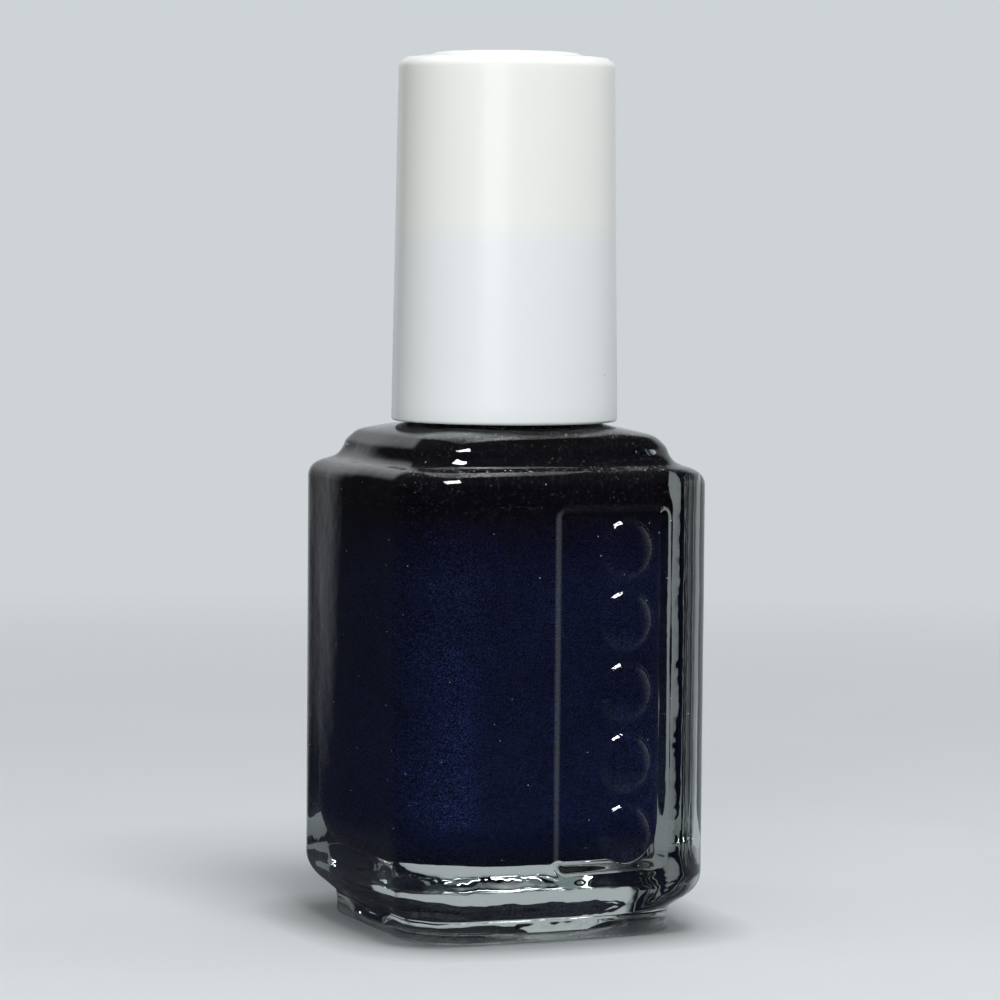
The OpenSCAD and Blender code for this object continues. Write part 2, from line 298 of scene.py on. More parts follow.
def neck_rings():
    """The neck from its foot, up the thread and over the lip to the bore."""
    rings = []
    for r, z in arc(7.15, 44.12, 0.7, 262, 180, 7):
        rings.append(ring(r * MM, 0, 1.0, z * MM))
    start_z = NECK_TOP - THREAD_DROP
    lip = 0.5 * MM
    heights = np.linspace(44.3 * MM, NECK_TOP - lip, 98)
    for z in heights:
        points = ring(NECK_R, 0, 1.0, z)
        ridge = np.zeros(len(points))
        turn = (BEARING % (2 * math.pi)) / (2 * math.pi)
        for k in range(3):
            way = turn + k                                  # turns along the thread
            centre = start_z + THREAD_PITCH * way
            fade = smoothstep(way / 0.12) * smoothstep((THREAD_TURNS - way) / 0.12)
            across = np.abs(z - centre) / THREAD_HALF
            ridge = np.maximum(ridge, fade * np.clip(1.45 * (1 - across), 0, 1))
        radius = NECK_R + THREAD_H * smoothstep(ridge)
        points[:, :2] = ROUND * radius[:, None]
        rings.append(points)
    for r, z in arc(NECK_R - lip, NECK_TOP - lip, lip, 0, 90, 6):
        rings.append(ring(r, 0, 1.0, z))
    for r, z in arc(BORE_R + lip, NECK_TOP - lip, lip, 90, 180, 6):
        rings.append(ring(r, 0, 1.0, z))
    return rings


def chamber_outline():
    """(inset from the chamber's wall, height) from high in the neck's bore down to the floor."""
    out = []
    for z in np.linspace(54 * MM, 42.4 * MM, 12):
        out.append((CHAMBER_A - BORE_R, z))
    for r, z in arc(BORE_R + 1.1 * MM, 42.2 * MM, 1.1 * MM, 180, 258, 8):
        out.append((CHAMBER_A - r, z))
    end_i = ROOF_R + ROOF_R * math.cos(math.radians(102))
    end_z = ROOF_Z + ROOF_R * math.sin(math.radians(102))
    last_i, last_z = out[-1]
    for t in (0.3, 0.6, 0.85):
        out.append((last_i + t * (end_i - last_i), last_z + t * (end_z - last_z)))
    out += arc(ROOF_R, ROOF_Z, ROOF_R, 102, 180, 14)
    low = FLOOR_Z + FLOOR_R
    for t in np.linspace(0, 1, 30)[1:-1]:
        out.append((0.0, ROOF_Z + t * (low - ROOF_Z)))
    out += arc(FLOOR_R, low, FLOOR_R, 180, 270, 14)
    return out


def split_at_fill(outline):
    """The outline's parts above and below the polish's level, both with a point on the level."""
    above = [p for p in outline if p[1] > FILL_Z]
    below = [p for p in outline if p[1] <= FILL_Z]
    share = (above[-1][1] - FILL_Z) / (above[-1][1] - below[0][1])
    level = (above[-1][0] + share * (below[0][0] - above[-1][0]), FILL_Z)
    return above + [level], [level] + below


def grown(outline, distance):
    """The same outline moved out into the glass, square to itself."""
    points = np.array(outline)
    run = np.gradient(points, axis=0)
    run /= np.hypot(run[:, 0], run[:, 1])[:, None]
    points[:, 0] += distance * run[:, 1]
    points[:, 1] -= distance * run[:, 0]
    return points


def chamber_rings(outline):
    """The chamber's uneven wall."""
    rings = []
    for inset, z in outline:
        a = CHAMBER_A - inset
        t = float(smoothstep((inset / MM - 3.8) / 3.2)) if z > ROOF_Z else 0.0
        points = ring(a, CHAMBER_CORNER_R, t, z)
        if z < SHOULDER_Z:
            wave = 0.07 * MM * ripple(points[:, 0], points[:, 1], points[:, 2], 13 * MM)
            points[:, :2] *= (1 + wave / a)[:, None]
        rings.append(points)
    return rings


def floor_rings(grow=0.0):
    """The chamber's slightly uneven floor, drawn in towards the axis."""
    rings = []
    a = CHAMBER_A - FLOOR_R
    for share in (0.9, 0.8, 0.7, 0.6, 0.5, 0.4, 0.3, 0.2):
        points = ring(a, CHAMBER_CORNER_R, 0.0, FLOOR_Z - grow)
        points[:, :2] *= share
        sag = smoothstep((1 - share) / 0.4)
        uneven = 0.6 + ripple(points[:, 0], points[:, 1], 0.0, 6.5 * MM)
        points[:, 2] -= sag * 0.25 * MM * uneven
        rings.append(points)
    return rings


def build_glass():
    """The whole bottle as one closed skin, with the dust's strength stored on its points."""
    rings = outer_rings() + neck_rings() + chamber_rings(chamber_outline()) + floor_rings()
    points, faces = skin(rings, (0, 0, RECESS_H), (0, 0, FLOOR_Z - 0.14 * MM))
    piece = new_mesh("glass_bottle", points, faces)
    # Dust lies on whatever faces up on the outside of the shoulder.
    co = np.array(points)
    outside_rows = len(outer_rings())
    normals = np.zeros(len(co) * 3, np.float32)
    piece.data.vertices.foreach_get("normal", normals)
    up = normals.reshape(-1, 3)[:, 2]
    dust = DUST_ELSEWHERE + (1 - DUST_ELSEWHERE) * smoothstep((up - DUST_LEVEL) / 0.08)
    dust *= smoothstep((co[:, 2] - DUST_FROM) / (5 * MM))
    dust[outside_rows * len(SIDE):] = 0.0
    layer = piece.data.attributes.new("dust", "FLOAT", "POINT")
    layer.data.foreach_set("value", dust.astype(np.float32))
    return piece


# ---- polish --------------------------------------------------------------------------------

BALL_ROOM = 0.1 * MM      # space round a mixing ball in its way through the polish
CONTACT = 0.02 * MM       # the polish's skin lies this far inside the glass, with no gap seen
FILM_TOP = 49 * MM        # how high the film of polish reaches up the neck
FILM_THICK = 0.12 * MM


def build_polish():
    """The polish up to its level, touching the glass, with a way for each mixing ball."""
    wall = split_at_fill(chamber_outline())[1]
    rings = chamber_rings(grown(wall, CONTACT)) + floor_rings(CONTACT)
    top = rings[0].copy()
    surface = []
    for share, drop in ((0.12, 0.0), (0.3, 0.1), (0.5, 0.13), (0.8, 0.15), (0.97, 0.1)):
        level = top.copy()
        level[:, :2] *= share
        level[:, 2] = FILL_Z - drop * MM
        surface.append(level)
    surface[-1][:, 2] = FILL_Z + 0.05 * MM
    points, faces = skin(surface + rings, (0, 0, FILL_Z), (0, 0, FLOOR_Z - 0.16 * MM))
    piece = new_mesh("polish_liquid", points, faces)
    for name in ("mixing_ball_1", "mixing_ball_2"):
        low, high = node_size(name)
        carve_way(piece, (low + high) / 2, (high[0] - low[0]) / 2 + BALL_ROOM, low[2] - BALL_ROOM)
    return piece


def carve_way(piece, centre, radius, low_z):
    """Cuts an upright way through the polish, so that a mixing ball can rise."""
    profile = [(radius, low_z), (radius, FILL_Z + 2 * MM)]
    points, faces = lathe(profile, 64, (0, 0, low_z), (0, 0, FILL_Z + 2 * MM))
    cutter = new_mesh("way", [(p[0] + centre[0], p[1] + centre[1], p[2]) for p in points], faces)
    cut = piece.modifiers.new("way", "BOOLEAN")
    cut.operation = "DIFFERENCE"
    cut.solver = "EXACT"
    cut.object = cutter
    graph = bpy.context.evaluated_depsgraph_get()
    carved = bpy.data.meshes.new_from_object(piece.evaluated_get(graph))
    piece.modifiers.clear()
    piece.data = carved
    bpy.data.objects.remove(cutter)


def build_film():
    """Polish that clings to the glass above the level, with an uneven upper edge."""
    wall = [p for p in split_at_fill(chamber_outline())[0] if p[1] < FILM_TOP]
    outer = chamber_rings(grown(wall, CONTACT))
    inner = chamber_rings(grown(wall, -FILM_THICK))
    edge = 0.7 * MM * np.sin(2 * BEARING) + 0.3 * MM * np.sin(5 * BEARING + 2)
    edge += 0.12 * MM * np.sin(11 * BEARING + 1)
    for rings in (outer, inner):
        rings[0][:, 2] += edge
        rings[1][:, 2] += 0.5 * edge
    loop = outer + inner[::-1]
    points, faces = skin(loop + [loop[0]])
    piece = new_mesh("polish_film", points, faces)
    weld(piece)
    return piece


def weld(piece, distance=1e-7):
    """Joins points that lie on each other and turns the faces outward."""
    bm = bmesh.new()
    bm.from_mesh(piece.data)
    bmesh.ops.remove_doubles(bm, verts=bm.verts, dist=distance)
    bmesh.ops.recalc_face_normals(bm, faces=bm.faces)
    bm.to_mesh(piece.data)
    bm.free()
    piece.data.update()


# ---- turned pieces -------------------------------------------------------------------------

def lathe(profile, segments, start=None, end=None):
    """Rings of a turned profile of (radius, height) points."""
    t = np.linspace(0, 2 * math.pi, segments, endpoint=False)
    rings = [np.c_[r * np.cos(t), r * np.sin(t), np.full(segments, z)] for r, z in profile]
    return skin(rings, start, end)


def box_faces(base):
    """Faces of a box whose eight points start at this index."""
    quads = ((0, 3, 2, 1), (4, 5, 6, 7), (0, 1, 5, 4), (1, 2, 6, 5), (2, 3, 7, 6), (3, 0, 4, 7))
    return [tuple(base + i for i in q) for q in quads]


def build_cap():
    """Outer closure: tapered wall, rounded rim, raised disc, socket and inside ribs."""
    segments = 192
    disc_r, disc_h = 6.8 * MM, 0.45 * MM
    rim_z = CAP_TOP - disc_h
    edge = 0.95 * MM
    top_r = 9.3 * MM
    low_edge = 0.28 * MM
    socket_r = 8.45 * MM
    step_z = INNER_HIGH[2] + 0.05 * MM
    chamber_r = 7.9 * MM
    ceiling = CAP_TOP - 2.2 * MM
    profile = [(socket_r, CAP_BASE + 0.5 * MM)]
    profile += [(socket_r + 0.12 * MM, CAP_BASE + 0.12 * MM), (socket_r + 0.25 * MM, CAP_BASE)]
    profile += arc(CAP_R - low_edge, CAP_BASE + low_edge, low_edge, 270, 360, 5)
    for t in np.linspace(0, 1, 26)[1:-1]:
        profile.append((CAP_R + t * (top_r - CAP_R),
                        CAP_BASE + low_edge + t * (rim_z - edge - CAP_BASE - low_edge)))
    profile += arc(top_r - edge, rim_z - edge, edge, 0, 90, 10)
    for r, z in ((8.0, 0.0), (7.5, 0.0), (7.05, 0.01)):
        profile.append((r * MM, rim_z + z * MM))
    for t in np.linspace(0, 1, 9):
        profile.append((disc_r + 0.1 * MM - t * 0.9 * MM, rim_z + disc_h * 0.93 * smoothstep(t)))
    for r in (5.2, 4.2, 3.0, 1.8, 1.0):
        profile.append((r * MM, CAP_TOP - 0.03 * MM * (r / 5.9) ** 2))
    profile += [(0.75 * MM, CAP_TOP - 0.02 * MM), (0.6 * MM, CAP_TOP - 0.12 * MM)]
    profile += [(0.3 * MM, CAP_TOP - 0.14 * MM)]
    inside = [(0.5 * MM, ceiling), (4 * MM, ceiling), (chamber_r - 0.4 * MM, ceiling)]
    inside += [(chamber_r, ceiling - 0.4 * MM), (chamber_r, step_z), (socket_r, step_z)]
    points, faces = lathe(profile, segments, None, (0, 0, CAP_TOP - 0.14 * MM))
    more, more_faces = lathe(inside + [profile[0]], segments, (0, 0, ceiling))
    base = len(points)
    points = points + more
    faces = faces + [tuple(base + i for i in f) for f in more_faces]
    near, off, half, ribs = 5.3, 8.1, 0.45, 6       # the ribs' ends and half thickness in mm
    for k in range(ribs):
        t = 2 * math.pi * k / ribs
        base = len(points)
        for z in (step_z, ceiling + 0.2 * MM):
            for x, y in ((near, -half), (off, -half), (off, half), (near, half)):
                points.append((MM * (x * math.cos(t) - y * math.sin(t)),
                               MM * (x * math.sin(t) + y * math.cos(t)), z))
        faces += box_faces(base)
    piece = new_mesh("closure_shell", points, faces)
    weld(piece)
    mark_sharp(piece, 40)
    return piece


def mark_sharp(piece, degrees):
    """Smooth shading with a crease at edges sharper than this."""
    piece.data.set_sharp_from_angle(angle=math.radians(degrees))


def build_label():
    """Blank round label, its edge a little rounded, stuck in the dished underside."""
    r = LABEL_HIGH[0]
    low, high = LABEL_LOW[2], LABEL_HIGH[2]
    mid = (low + high) / 2
    profile = [(0.3 * r, low), (0.6 * r, low), (0.9 * r, low), (0.985 * r, low), (r, mid)]
    profile += [(0.99 * r, high), (0.6 * r, high), (0.3 * r, high)]
    points, faces = lathe(profile, 128, (0, 0, low), (0, 0, high))
    piece = new_mesh("base_sticker", points, faces)
    weld(piece)
    return piece


def tuft_radius(z):
    """Outside radius of the brush's tuft at height z."""
    t = (TUFT_HIGH[2] - z) / (TUFT_HIGH[2] - TUFT_LOW[2])
    return MM * np.interp(t, [0, 0.2, 0.45, 0.75, 0.9, 1.0], [1.28, 1.3, 1.85, 1.97, 1.75, 1.2])


def build_bristles():
    """Nylon filaments, each a thin tapered tube, held in the rod's end and flared below it."""
    rng = np.random.default_rng(7)
    count, sides = 260, 5
    golden = math.pi * (3 - math.sqrt(5))
    points, faces = [], []
    top = TUFT_HIGH[2] - 0.2 * MM
    for k in range(count):
        spread = math.sqrt((k + 0.5) / count)
        bearing = k * golden
        end_z = TUFT_LOW[2] + MM * (0.08 + 1.5 * spread ** 3 + 0.5 * rng.random())
        thick = MM * (0.055 + 0.015 * rng.random())
        bend = rng.normal(0, 0.05, 2) * MM
        rings = []
        for t in np.linspace(0, 1, 9):
            z = top + t * (end_z - top)
            out = spread * (tuft_radius(z) - 0.09 * MM)
            cx = out * math.cos(bearing) + bend[0] * math.sin(math.pi * t)
            cy = out * math.sin(bearing) + bend[1] * math.sin(math.pi * t)
            w = thick * (1.0 if t < 0.85 else 1.0 - 3.2 * (t - 0.85))
            a = np.linspace(0, 2 * math.pi, sides, endpoint=False)
            rings.append(np.c_[cx + w * np.cos(a), cy + w * np.sin(a), np.full(sides, z)])
        tip = tuple(rings[-1].mean(0) - np.array((0, 0, 0.03 * MM)))
        root = tuple(rings[0].mean(0))
        p, f = skin(rings[::-1], tip, root)
        base = len(points)
        points += list(p)
        faces += [tuple(base + i for i in q) for q in f]
    return new_mesh("brush_filaments", points, faces)


# ---- materials -----------------------------------------------------------------------------

class Nodes:
    """Short forms for building the nodes of a material or of the world."""

    def __init__(self, owner):
        world = isinstance(owner, bpy.types.World)
        self.owner = owner
        owner.use_nodes = True
        self.tree = owner.node_tree
        self.tree.nodes.clear()
        self.output = self.node("OutputWorld" if world else "OutputMaterial")
        self.coords = self.node("TexCoord").outputs["Generated" if world else "Object"]

    def node(self, kind, settings=None, **inputs):
        """A new node with its settings and inputs; an input is a number, a colour or a socket."""
        made = self.tree.nodes.new("ShaderNode" + kind)
        for key, value in (settings or {}).items():
            setattr(made, key, value)
        for key, value in inputs.items():
            self.set(made.inputs[key.replace("_", " ")], value)
        return made

    def set(self, socket, value):
        """Links a socket, or gives it a constant of its own type."""
        if isinstance(value, bpy.types.NodeSocket):
            self.tree.links.new(value, socket)
        elif isinstance(value, (int, float)) and socket.type == "RGBA":
            socket.default_value = (value, value, value, 1)
        elif isinstance(value, tuple) and len(value) == 3 and socket.type == "RGBA":
            socket.default_value = (*value, 1)
        else:
            socket.default_value = value

    def math(self, operation, a, b=0.0, clamp=False):
        """One operation on two numbers."""
        made = self.node("Math", {"operation": operation, "use_clamp": clamp})
        self.set(made.inputs[0], a)
        self.set(made.inputs[1], b)
        return made.outputs[0]

    def vector(self, operation, a, b=(0.0, 0.0, 0.0)):
        """One operation on two vectors, or on the first alone."""
        made = self.node("VectorMath", {"operation": operation})
        self.set(made.inputs[0], a)
        self.set(made.inputs[1], b)
        return made.outputs["Value" if operation in ("DOT_PRODUCT", "LENGTH") else "Vector"]

    def noise(self, scale, detail=3.0, rough=0.5):
        """Smooth unevenness between about 0 and 1."""
        made = self.node("TexNoise", Scale=scale, Detail=detail, Roughness=rough)
        self.set(made.inputs["Vector"], self.coords)
        return made.outputs["Fac"]

    def cells(self, scale):
        """Scattered points: the distance to the nearest, and a colour of its own for each."""
        made = self.node("TexVoronoi", Scale=scale)
        self.set(made.inputs["Vector"], self.coords)
        return made

    def ramp(self, value, low, high, out_low=0.0, out_high=1.0, kind="LINEAR"):
        """Takes the range low to high to another range, and stops at its ends."""
        made = self.node("MapRange", {"interpolation_type": kind})
        for key, number in zip((1, 2, 3, 4), (low, high, out_low, out_high)):
            made.inputs[key].default_value = number
        self.set(made.inputs[0], value)
        return made.outputs[0]

    def mix(self, factor, a, b):
        """A colour between two."""
        made = self.node("Mix", {"data_type": "RGBA"})
        self.set(made.inputs[0], factor)
        self.set(made.inputs[6], a)
        self.set(made.inputs[7], b)
        return made.outputs[2]

    def mix_shader(self, factor, a, b):
        """A shader between two."""
        made = self.node("MixShader")
        for socket, value in zip(made.inputs, (factor, a, b)):
            self.set(socket, value)
        return made.outputs[0]

    def height(self):
        """The Z coordinate."""
        parts = self.node("SeparateXYZ")
        self.set(parts.inputs[0], self.coords)
        return parts.outputs[2]

    def bump(self, value, strength, distance):
        """A normal for fine relief."""
        made = self.node("Bump", Strength=strength, Distance=distance)
        self.set(made.inputs["Height"], value)
        return made.outputs["Normal"]

    def principled(self, **inputs):
        """The general surface shader."""
        return self.node("BsdfPrincipled", **inputs)

    def finish(self, shader):
        """Links the shader to the output and gives back the material or world."""
        self.tree.links.new(shader, self.output.inputs["Surface"])
        return self.owner


def material_nodes(name):
    """Nodes of a new material."""
    return Nodes(bpy.data.materials.new(name))


def lamps_through(n, shader):
    """Lets lamps through a glass shader, so that what it holds is lit."""
    shadow = n.node("LightPath").outputs["Is Shadow Ray"]
    clear = n.node("BsdfTransparent", Color=(0.45, 0.47, 0.47))
    return n.mix_shader(shadow, shader, clear.outputs[0])


def glass_material():
    """Clear glass with dust on the shoulder, stray specks and a stippled standing rim."""
    n = material_nodes("moulded_glass")
    where = n.node("Attribute", {"attribute_name": "dust"}).outputs["Fac"]
    fine = n.ramp(n.noise(6500, 3, 0.75), 0.5, 0.72)
    flecks = n.ramp(n.cells(1900).outputs["Distance"], 0.16, 0.08)
    flecks = n.math("MULTIPLY", flecks, n.ramp(n.noise(1500, 2), 0.48, 0.54))
    grit = n.ramp(n.cells(4300).outputs["Distance"], 0.32, 0.18)
    grit = n.math("MULTIPLY", grit, n.ramp(n.noise(2100, 2), 0.45, 0.6, 0.0, 0.4))
    flecks = n.math("MAXIMUM", flecks, grit)
    patch = n.ramp(n.noise(300, 3), 0.35, 0.7, 0.25, 1.0)
    haze = n.math("MULTIPLY", n.math("ADD", fine, 0.08), patch)
    dust = n.math("MULTIPLY", n.math("ADD", n.math("MULTIPLY", haze, 0.08), flecks), where)
    stray = n.ramp(n.cells(1100).outputs["Distance"], 0.075, 0.03)
    stray = n.math("MULTIPLY", stray, n.ramp(n.noise(700, 1), 0.50, 0.58))
    mask = n.math("MAXIMUM", dust, n.math("MULTIPLY", stray, 0.55), clamp=True)
    colour = n.mix(mask, (0.955, 0.975, 0.97), (0.55, 0.54, 0.52))
    clear = n.math("SUBTRACT", 1.0, mask)
    rough = n.ramp(mask, 0.0, 1.0, 0.008, 0.7)
    low = n.ramp(n.height(), 0.9 * MM, 0.2 * MM)
    stipple = n.math("MULTIPLY", n.noise(3600, 3, 0.7), low)
    waves = n.math("ADD", n.math("MULTIPLY", n.noise(420, 2), 0.12), stipple)
    p = n.principled(IOR=1.52, Base_Color=colour, Transmission_Weight=clear, Roughness=rough,
                     Normal=n.bump(waves, 0.5, 0.0004))
    tint = n.node("VolumeAbsorption", Color=(0.74, 0.79, 0.785), Density=42.0)
    n.tree.links.new(tint.outputs[0], n.output.inputs["Volume"])
    return n.finish(lamps_through(n, p.outputs[0]))


def polish_material(name, film):
    """Near-black navy with fine blue shimmer flakes, each tilted its own way."""
    n = material_nodes(name)
    flakes = n.cells(15000).outputs["Color"]
    tilt = n.vector("SUBTRACT", flakes, (0.5, 0.5, 0.5))
    tilt = n.vector("MULTIPLY", tilt, (0.9, 0.9, 0.9))
    facing = n.node("NewGeometry").outputs["Normal"]
    normal = n.vector("NORMALIZE", n.vector("ADD", facing, tilt))
    split = n.node("SeparateColor")
    n.set(split.inputs[0], flakes)
    lucky = n.ramp(split.outputs[0], 0.2, 1.0)
    # Painted shade: near the polish's level its colour is drawn darker and more purple, with fewer
    # shimmer flakes. The effect eases off 7 mm lower down.
    painted_top_shade = n.ramp(n.height(), FILL_Z - 0.5 * MM, FILL_Z - 7 * MM, 0.02, 0.72)
    streak = n.ramp(n.noise(160, 4, 0.6), 0.3, 0.75, 0.55, 1.15)
    # Painted light: below 22 mm the shimmer is drawn up to 2.1 times stronger towards the floor.
    # This brightens low polish that the lamps hardly reach.
    painted_bottom_light = n.ramp(n.height(), 22 * MM, FLOOR_Z, 1.0, 2.1)
    share = n.math("MULTIPLY", n.math("MULTIPLY", lucky, painted_top_shade), n.math("MULTIPLY", streak, painted_bottom_light))
    if film:
        share = n.math("MULTIPLY", share, 0.2)
    deep = n.mix(painted_top_shade, (0.0025, 0.0016, 0.004), (0.004, 0.0045, 0.012))
    colour = n.mix(share, deep, (0.024, 0.037, 0.135))
    p = n.principled(Base_Color=colour, Roughness=0.42, Specular_IOR_Level=0.0, Normal=normal,
                     Metallic=n.math("MULTIPLY", share, 0.9))
    return n.finish(p.outputs[0])


def cap_material():
    """White gloss, warmer above and cooler below, with a few dark specks."""
    n = material_nodes("white_gloss_plastic")
    warm = n.ramp(n.height(), CAP_BASE + 15.2 * MM, CAP_BASE + 17.2 * MM)
    base = n.mix(warm, (0.80, 0.845, 0.86), (0.845, 0.865, 0.835))
    cloud = n.ramp(n.noise(90, 3), 0.3, 0.7, 0.0, 0.03)
    base = n.mix(cloud, base, (0.7, 0.72, 0.72))
    specks = n.ramp(n.cells(420).outputs["Distance"], 0.05, 0.03)
    specks = n.math("MULTIPLY", specks, n.ramp(n.noise(700, 1), 0.60, 0.63))
    base = n.mix(n.math("MULTIPLY", specks, 0.55), base, (0.25, 0.22, 0.2))
    rough = n.ramp(n.noise(260, 4), 0.3, 0.7, 0.24, 0.27)
    p = n.principled(Base_Color=base, IOR=1.49, Roughness=rough, Coat_Weight=0.25,
                     Coat_Roughness=0.12, Normal=n.bump(n.noise(700, 2), 0.03, 0.0002))
    return n.finish(p.outputs[0])


def plastic_material(name, colour, shade, rough, grain):
    """Moulded plastic with faint flow marks."""
    n = material_nodes(name)
    flow = n.noise(grain, 4, 0.6)
    base = n.mix(n.ramp(flow, 0.3, 0.7), colour, shade)
    p = n.principled(Base_Color=base, Roughness=n.ramp(flow, 0.3, 0.7, rough, rough + 0.12),
                     Normal=n.bump(n.noise(4 * grain, 2), 0.12, 0.0002))
    return n.finish(p.outputs[0])


def metal_material(name, colour, rough):
    """Drawn or rolled metal with fine scratches and a little dried polish."""
    n = material_nodes(name)
    scratch = n.noise(2200, 5, 0.7)
    stain = n.ramp(n.noise(350, 3), 0.56, 0.7)
    base = n.mix(n.math("MULTIPLY", stain, 0.7), colour, (0.02, 0.025, 0.08))
    p = n.principled(Base_Color=base, Metallic=1.0, Normal=n.bump(scratch, 0.1, 0.0001),
                     Roughness=n.ramp(scratch, 0.3, 0.7, rough, rough + 0.15))
    return n.finish(p.outputs[0])


def label_material():
    """Blank pale film with one thin printed ring."""
    n = material_nodes("label_film")
    radius = n.vector("LENGTH", n.vector("MULTIPLY", n.coords, (1.0, 1.0, 0.0)))
    off = n.math("ABSOLUTE", n.math("SUBTRACT", radius, 7.8 * MM))
    line = n.ramp(off, 0.16 * MM, 0.10 * MM)
    paper = n.mix(n.ramp(n.noise(1500, 4), 0.3, 0.7), (0.80, 0.81, 0.82), (0.74, 0.75, 0.77))
    p = n.principled(Base_Color=n.mix(line, paper, (0.05, 0.06, 0.16)), Roughness=0.35,
                     Normal=n.bump(n.noise(2500, 3), 0.1, 0.0001))
    return n.finish(p.outputs[0])


def nylon_material():
    """Dark nylon, wet with polish in its lower part."""
    n = material_nodes("nylon_filaments")
    wet = n.ramp(n.height(), TUFT_LOW[2] + 13 * MM, TUFT_LOW[2] + 9 * MM)
    uneven = n.math("MULTIPLY", wet, n.ramp(n.noise(900, 3), 0.2, 0.6, 0.6, 1.0))
    base = n.mix(uneven, (0.05, 0.05, 0.055), (0.008, 0.011, 0.05))
    p = n.principled(Base_Color=base, Roughness=n.ramp(uneven, 0.0, 1.0, 0.45, 0.18))
    return n.finish(p.outputs[0])


def paint(name, material):
    """Gives a CAD node a finished material."""
    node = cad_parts[name]
    if not node.material_slots:
        node.data.materials.append(material)
    for entry in node.material_slots:
        entry.material = material


# ---- camera, light and floor ---------------------------------------------------------------

VIEW_AZIMUTH = -22.9       # the camera stands to the left of the front face
CAMERA_DISTANCE = 0.357
CAMERA_HEIGHT = 0.0601
CAMERA_ROLL = 0.45
LENS = 149.0
AIM = (-0.31 * MM, 36.5 * MM)


def add_camera():
    """The camera of the photograph: its place, aim, lens and slight roll."""
    a = math.radians(VIEW_AZIMUTH)
    eye = Vector((math.sin(a) * CAMERA_DISTANCE, -math.cos(a) * CAMERA_DISTANCE, CAMERA_HEIGHT))
    right = Vector((math.cos(a), math.sin(a), 0))
    target = right * AIM[0] + Vector((0, 0, AIM[1]))
    ahead = (target - eye).normalized()
    right = ahead.cross(Vector((0, 0, 1))).normalized()
    up = right.cross(ahead)
    turn = math.radians(CAMERA_ROLL)
    rolled_right = right * math.cos(turn) + up * math.sin(turn)
    rolled_up = up * math.cos(turn) - right * math.sin(turn)
    data = bpy.data.cameras.new("camera")
    data.lens = LENS
    data.sensor_width = 36.0
    data.clip_start = 0.01
    camera = bpy.data.objects.new("camera", data)
    bpy.context.scene.collection.objects.link(camera)
    basis = Matrix((rolled_right, rolled_up, -ahead)).transposed().to_4x4()
    camera.matrix_world = Matrix.Translation(eye) @ basis
    bpy.context.scene.camera = camera


def add_softbox(name, azimuth, elevation, distance, size, watts, mirrored=False):
    """A soft lamp aimed at the bottle; a mirrored one shows in gloss, the others light it."""
    a, e = math.radians(azimuth), math.radians(elevation)
    back = Vector((math.sin(a) * math.cos(e), -math.cos(a) * math.cos(e), math.sin(e)))
    data = bpy.data.lights.new(name, "AREA")
    data.shape = "RECTANGLE"
    data.size, data.size_y = size
    data.energy = watts
    lamp = bpy.data.objects.new(name, data)
    bpy.context.scene.collection.objects.link(lamp)
    lamp.location = back * distance + Vector((0, 0, 0.03))
    lamp.rotation_mode = "QUATERNION"
    lamp.rotation_quaternion = back.to_track_quat("Z", "Y")
    lamp.visible_diffuse = not mirrored
    lamp.visible_glossy = mirrored
    lamp.visible_transmission = mirrored


BACKDROP = (0.615, 0.65, 0.675)
WALL_LEFT = -37.0          # where the pale side ends, from the camera's own heading
WALL_RIGHT = 95.0
WALL_REFLECTED = 0.66      # how bright the wall is in reflections
WALL_THROUGH = 0.36        # and through the glass
ROOM_THROUGH = 0.21        # added all round for rays that left the glass, or it would look black


def pale_side(n, vector):
    """One towards the pale wall behind the object, nought towards the unlit room."""
    factors = []
    for limit, turn, soft in ((WALL_LEFT, 1, 0.155), (WALL_RIGHT, -1, 0.35)):
        edge = math.radians(limit - VIEW_AZIMUTH)
        inward = (turn * math.cos(edge), -turn * math.sin(edge), 0)
        past = n.vector("DOT_PRODUCT", vector, inward)
        factors.append(n.ramp(past, -soft, soft, kind="SMOOTHSTEP"))
    return n.math("MULTIPLY", factors[0], factors[1])


def add_world():
    """A pale wall behind, an unlit room in front and a dim ceiling; the camera sees it plain."""
    world = bpy.data.worlds.new("studio")
    bpy.context.scene.world = world
    n = Nodes(world)
    rays = n.node("LightPath").outputs
    through = rays["Is Transmission Ray"]
    height = n.height()
    ceiling = n.ramp(height, 0.2, 0.8, 0.022, 0.06, kind="SMOOTHSTEP")
    below = n.ramp(height, 0.36, 0.60, 1.0, 0.0, kind="SMOOTHSTEP")
    wall = n.math("MULTIPLY", pale_side(n, n.coords), below)
    wall = n.math("MULTIPLY", wall, n.ramp(through, 0.0, 1.0, WALL_REFLECTED, WALL_THROUGH))
    added = n.math("MULTIPLY", through, ROOM_THROUGH)
    seen = n.math("ADD", n.math("MAXIMUM", wall, ceiling), added)
    room = n.node("Background", Color=(0.93, 0.97, 1.0), Strength=seen)
    plain = n.node("Background", Color=BACKDROP)
    n.finish(n.mix_shader(rays["Is Camera Ray"], room.outputs[0], plain.outputs[0]))


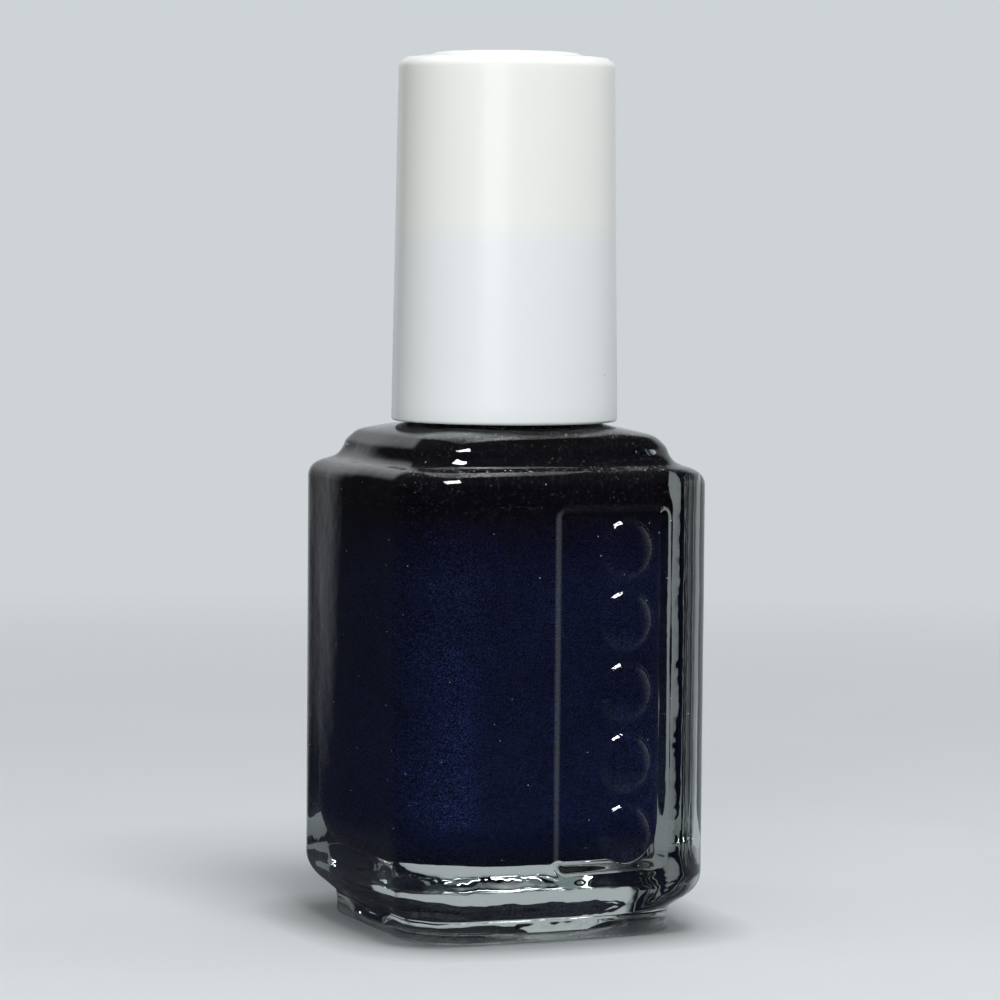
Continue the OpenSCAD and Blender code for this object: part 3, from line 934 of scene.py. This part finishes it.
def add_floor():
    """A pale floor that fades into the backdrop; reflections and the glass see the room in it."""
    points, faces = lathe([(0.05, 0), (0.2, 0), (0.6, 0), (3.0, 0)], 96, (0, 0, 0))
    floor = new_mesh("floor", points, [tuple(reversed(f)) for f in faces], smooth=False)
    n = material_nodes("pale_floor")
    rays = n.node("LightPath").outputs
    camera_ray = rays["Is Camera Ray"]
    far = n.vector("LENGTH", n.coords)
    tone = n.mix(n.ramp(n.noise(40, 5), 0.3, 0.7), (0.59, 0.624, 0.641), (0.607, 0.641, 0.657))
    # Painted shade: ambient occlusion within 7 mm of the bottle darkens the floor's colour to as
    # little as half. This is a contact shadow laid into the colour.
    contact = n.node("AmbientOcclusion", {"samples": 8}, Distance=7 * MM)
    shade = n.ramp(contact.outputs["AO"], 0.5, 1.0, 0.5, 1.0)
    lit = n.principled(Base_Color=n.mix(shade, 0.0, tone), Roughness=0.8, Specular_IOR_Level=0.2)
    haze = n.node("Emission", Color=BACKDROP)
    # Painted light: for reflections and the glass, the floor glows as the room. It is brighter
    # towards the pale wall and at least half bright all round through the glass. It is a little
    # darker within 12 cm of the bottle, which is a painted shadow.
    heading = n.vector("NORMALIZE", n.coords)
    dim = n.ramp(rays["Is Transmission Ray"], 0.0, 1.0, 0.04, 0.5)
    side = n.math("MAXIMUM", pale_side(n, heading), dim)
    seen = n.math("MULTIPLY", side, n.ramp(far, 0.02, 0.12, 0.68, 0.8))
    room = n.node("Emission", Color=BACKDROP, Strength=seen)
    beyond = n.mix_shader(camera_ray, room.outputs[0], haze.outputs[0])
    # The lit floor gives way to the haze for the camera, and sooner to the room for other rays.
    share = n.node("Mix")
    n.set(share.inputs[0], camera_ray)
    n.set(share.inputs[2], n.ramp(far, 0.025, 0.075, 0.85, 1.0))
    n.set(share.inputs[3], n.ramp(far, 0.07, 0.32))
    floor.data.materials.append(n.finish(n.mix_shader(share.outputs[0], lit.outputs[0], beyond)))


# ---- assembly ------------------------------------------------------------------------------

def place(piece, body, slot, material, *nodes):
    """Finishes a piece: its material and body, and the CAD nodes it stands for, which are hidden.
    The slot argument is not used.
    """
    piece.data.materials.append(material)
    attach(piece, body)
    if nodes:
        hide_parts(*nodes)


add_camera()
add_world()
add_floor()
add_softbox("highlight", 4, 64, 0.6, (0.25, 0.24), 5.0, mirrored=True)
add_softbox("rim", 85, 15, 1.0, (0.5, 0.4), 1.0)
add_softbox("key", 3, 64, 0.6, (0.24, 0.20), 2.6)
add_softbox("overhead", 20, 84, 0.7, (0.9, 0.9), 2.3)
add_softbox("side", -100, 15, 1.0, (0.5, 0.5), 1.5)
add_softbox("fill", -34, 7, 1.0, (0.5, 0.2), 6.1)

place(build_glass(), "bottle", "clear_glass", glass_material(), "bottle")
place(build_polish(), "bottle", "polish", polish_material("shimmer_polish", False), "polish")
place(build_film(), "bottle", "polish", polish_material("polish_film", True))
place(build_label(), "bottle", "label", label_material(), "base_label")
place(build_cap(), "closure", "white_gloss", cap_material(), "cap_shell")
place(build_bristles(), "closure", "nylon", nylon_material(), "bristles")

paint("inner_cap", plastic_material("natural_plastic", (0.74, 0.75, 0.73),
                                    (0.68, 0.69, 0.68), 0.38, 300))
paint("sealing_washer", plastic_material("foam_washer", (0.78, 0.76, 0.68),
                                         (0.66, 0.64, 0.58), 0.6, 1500))
paint("brush_rod", plastic_material("black_plastic", (0.012, 0.012, 0.014),
                                    (0.02, 0.02, 0.022), 0.25, 500))
paint("staple", metal_material("brass_staple", (0.72, 0.55, 0.28), 0.25))
steel = metal_material("steel_ball", (0.62, 0.63, 0.65), 0.16)
paint("mixing_ball_1", steel)
paint("mixing_ball_2", steel)

bpy.context.scene.view_settings.view_transform = "Standard"
